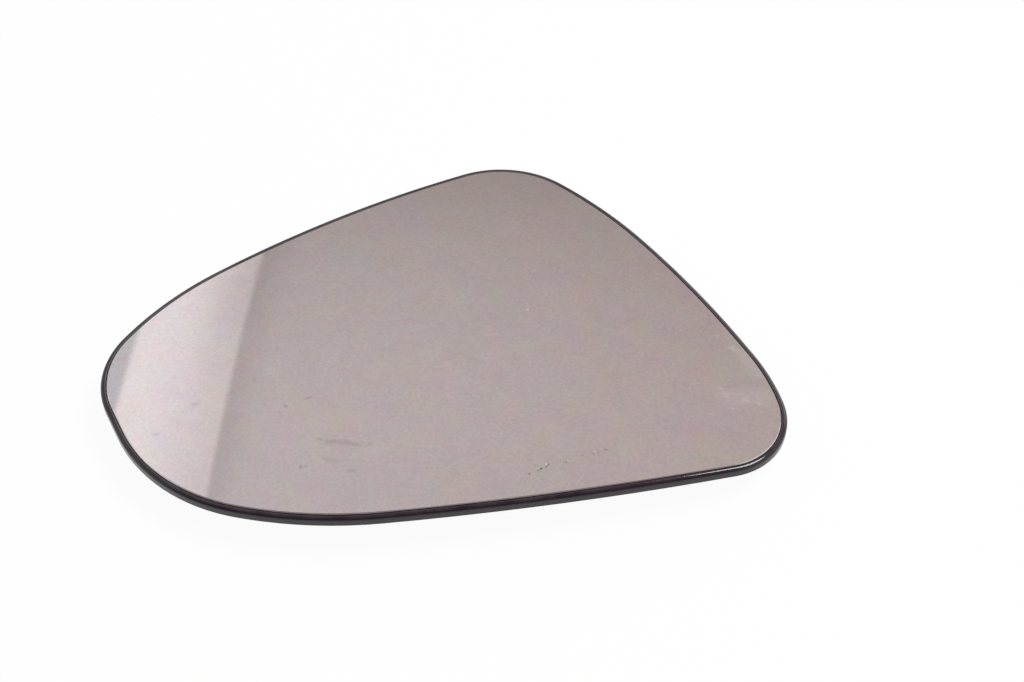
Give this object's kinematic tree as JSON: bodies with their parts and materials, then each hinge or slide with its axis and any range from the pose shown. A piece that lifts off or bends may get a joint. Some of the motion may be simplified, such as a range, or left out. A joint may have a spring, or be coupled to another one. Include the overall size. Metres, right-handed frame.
{
  "type": "car door mirror glass",
  "caption": "Convex car door mirror glass with a rounded wedge outline, bonded into a black rimmed clip-on backing plate; it shows the driver the road behind.",
  "frame": {"origin": "on the axis of the clip collar, in the plane at the collar's end that the part lies on; this is also the middle of the bottom of the box", "axes": "+Z out of the mirror face along the collar's axis, +X along the long lower edge towards the tight corner, +Y towards the upper edge"},
  "size_m": [0.1832, 0.1286, 0.0146],
  "materials": {
    "mirror": "silvered convex glass, warm grey tint, light film and fine scratches",
    "foam": "matt closed-cell foam tape",
    "black_plastic": "satin black moulded plastic"
  },
  "bodies": {
    "root": {"mirror_glass": "mirror", "adhesive_pad": "foam", "backing_plate": "black_plastic"}
  },
  "joints": []
}
